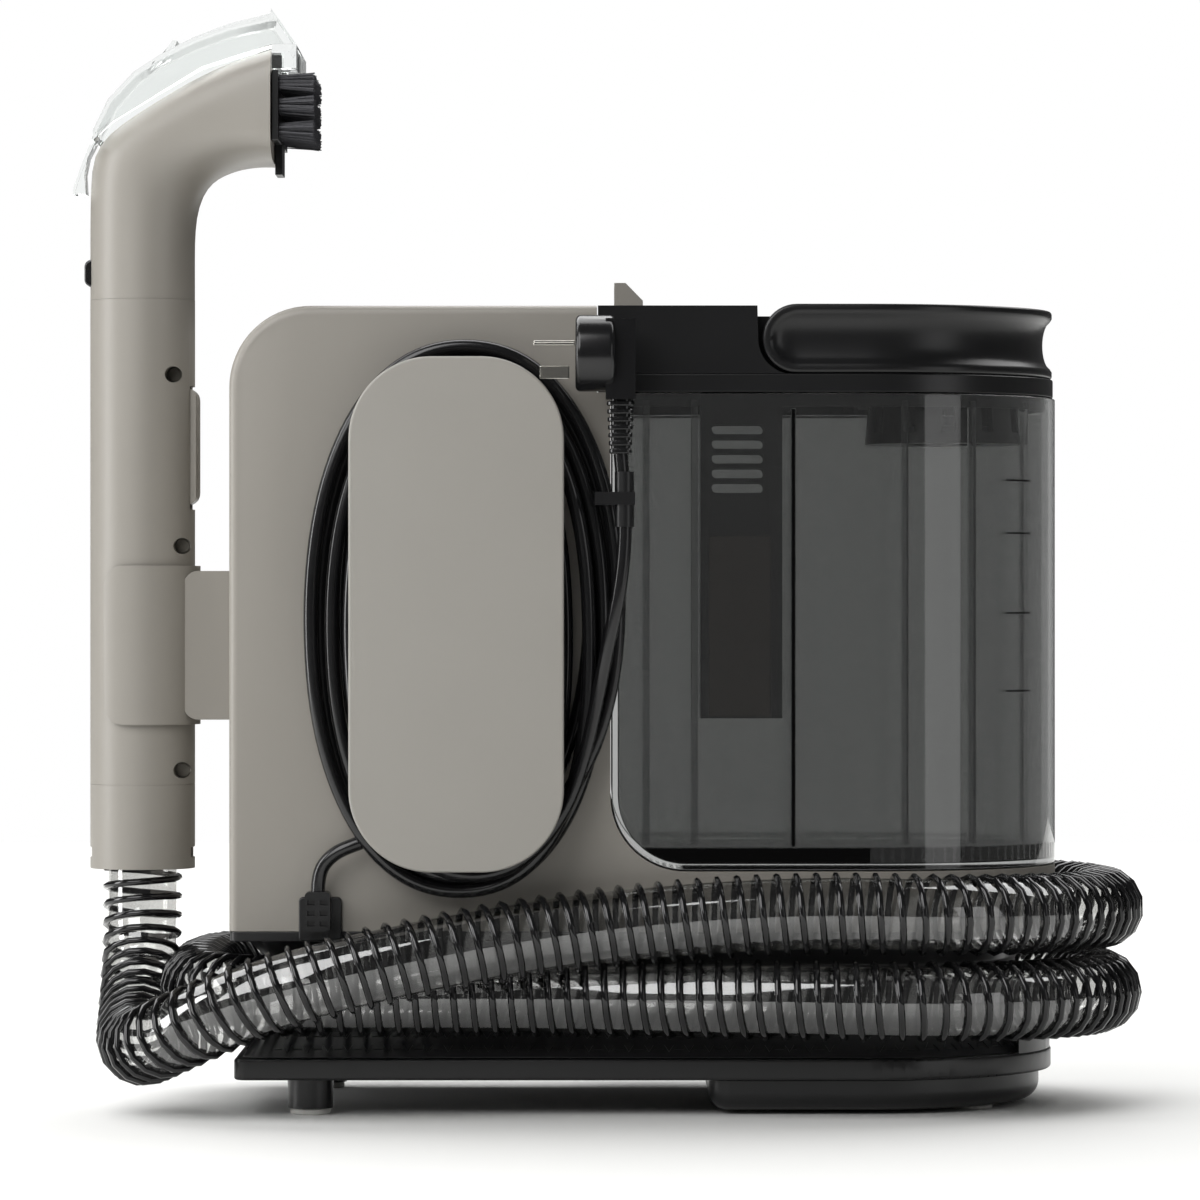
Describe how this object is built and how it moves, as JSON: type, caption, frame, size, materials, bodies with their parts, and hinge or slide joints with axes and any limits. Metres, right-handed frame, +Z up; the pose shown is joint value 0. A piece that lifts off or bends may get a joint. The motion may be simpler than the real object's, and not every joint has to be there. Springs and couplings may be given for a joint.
{
  "type": "carpet cleaner machine",
  "caption": "Portable carpet and upholstery cleaner with a lift-off water tank, bail handle, clip-on hand tool, wrapped suction hose and wound mains cord.",
  "frame": {"origin": "on the floor under the middle of the rigid parts", "axes": "+X from the hand tool towards the round nose, +Y away from the cord store, +Z up"},
  "size_m": [0.525, 0.2892, 0.5337],
  "materials": {
    "taupe_abs": "moulded taupe ABS, fine satin grain",
    "cover_taupe": "moulded taupe ABS, smooth satin",
    "black_satin": "moulded black ABS, satin",
    "black_gloss": "moulded black plastic, semi-gloss",
    "smoke_clear": "smoky clear SAN",
    "clear_plastic": "clear polycarbonate",
    "brown_panel": "brown rubbery panel",
    "grey_rubber": "soft light-grey foot pads",
    "hose": "clear hose with a black wire helix",
    "pvc_cord": "black PVC flex",
    "plug_metal": "nickel-plated brass",
    "steel": "zinc-plated steel",
    "bristle": "dark grey nylon bristles",
    "circuit": "circuit board with parts",
    "inner_grey": "grey inner moulding",
    "motor_metal": "pressed metal"
  },
  "bodies": {
    "root": {"housing_near": "taupe_abs", "housing_far": "taupe_abs", "housing_screws": "steel", "base_rim": "black_satin", "hose_cradle": "black_satin", "base_plate": "black_satin", "bottom_pod": "black_satin", "foot_pads": "grey_rubber", "cord_post": "taupe_abs", "cord_cover": "cover_taupe", "cord_inlet_plate": "black_satin", "cord_gland": "black_satin", "tool_clip": "taupe_abs", "clip_post": "taupe_abs", "fan_housing": "inner_grey", "motor_can": "motor_metal", "suction_duct": "inner_grey", "fan_duct": "inner_grey", "water_pump": "inner_grey", "water_tubes": "inner_grey", "control_board": "circuit", "power_switch": "black_satin", "button_bezel": "black_satin", "hose_port": "black_satin", "tool_shell_near": "taupe_abs", "tool_shell_far": "taupe_abs", "tool_screws": "steel", "tool_collar": "taupe_abs", "trigger_pin": "steel", "spray_valve": "inner_grey", "hose_tube": "hose", "mains_lead": "pvc_cord", "mains_tail": "pvc_cord", "mains_coil": "pvc_cord", "plug_body": "pvc_cord", "plug_pins": "plug_metal", "plug_relief": "pvc_cord", "cord_clip": "black_satin"},
    "fan": {"fan_rotor": "motor_metal", "motor_armature": "steel"},
    "power_button": {"power_button": "black_gloss"},
    "trigger": {"trigger": "taupe_abs"},
    "head": {"head_shell": "taupe_abs", "brush_plate": "black_satin", "brush_tufts": "bristle", "spray_nozzle": "black_gloss"},
    "head_button": {"head_button": "black_gloss"},
    "head_window": {"head_window": "clear_plastic"},
    "tank": {"tank_shell": "smoke_clear", "tank_base": "black_gloss", "tank_partition": "smoke_clear"},
    "lid": {"lid_base": "black_satin", "lid_cover": "black_satin", "lid_pins": "black_gloss", "inlet_duct": "black_satin", "duct_panel": "brown_panel", "float_basket": "black_satin"},
    "bail_handle": {"bail_handle": "black_satin"},
    "release_lever": {"release_lever": "taupe_abs"},
    "float": {"float_disc": "inner_grey"}
  },
  "joints": [
    {"name": "tank_lift", "type": "slide", "parent": "root", "child": "tank", "axis": [0, 0, 1], "range_m": [0, 0.12]},
    {"name": "lid_lift", "type": "slide", "parent": "tank", "child": "lid", "axis": [0, 0, 1], "range_m": [0, 0.165]},
    {"name": "handle_swing", "type": "hinge", "parent": "lid", "child": "bail_handle", "pos_m": [0.1115, 0, 0.3714], "axis": [0, -1, 0], "range_deg": [0, 95]},
    {"name": "release_tilt", "type": "hinge", "parent": "lid", "child": "release_lever", "pos_m": [0.0315, 0, 0.379], "axis": [0, -1, 0], "range_deg": [0, 12], "stiffness_Nm_per_rad": 0.2},
    {"name": "float_rise", "type": "slide", "parent": "lid", "child": "float", "axis": [0, 0, 1], "range_m": [0, 0.012]},
    {"name": "fan_spin", "type": "hinge", "parent": "root", "child": "fan", "pos_m": [-0.075, 0, 0.256], "axis": [0, 0, 1], "continuous": true},
    {"name": "power_press", "type": "slide", "parent": "root", "child": "power_button", "axis": [0, 0, -1], "range_m": [0, 0.0025], "stiffness_N_per_m": 400},
    {"name": "trigger_squeeze", "type": "hinge", "parent": "root", "child": "trigger", "pos_m": [-0.192, 0, 0.343], "axis": [0, 1, 0], "range_deg": [0, 5], "stiffness_Nm_per_rad": 1},
    {"name": "head_release", "type": "slide", "parent": "root", "child": "head", "axis": [0, 0, 1], "range_m": [0, 0.035]},
    {"name": "head_button_press", "type": "slide", "parent": "head", "child": "head_button", "axis": [1, 0, 0], "range_m": [0, 0.002], "stiffness_N_per_m": 400},
    {"name": "window_lift", "type": "slide", "parent": "head", "child": "head_window", "axis": [0, 0, 1], "range_m": [0, 0.03]}
  ]
}
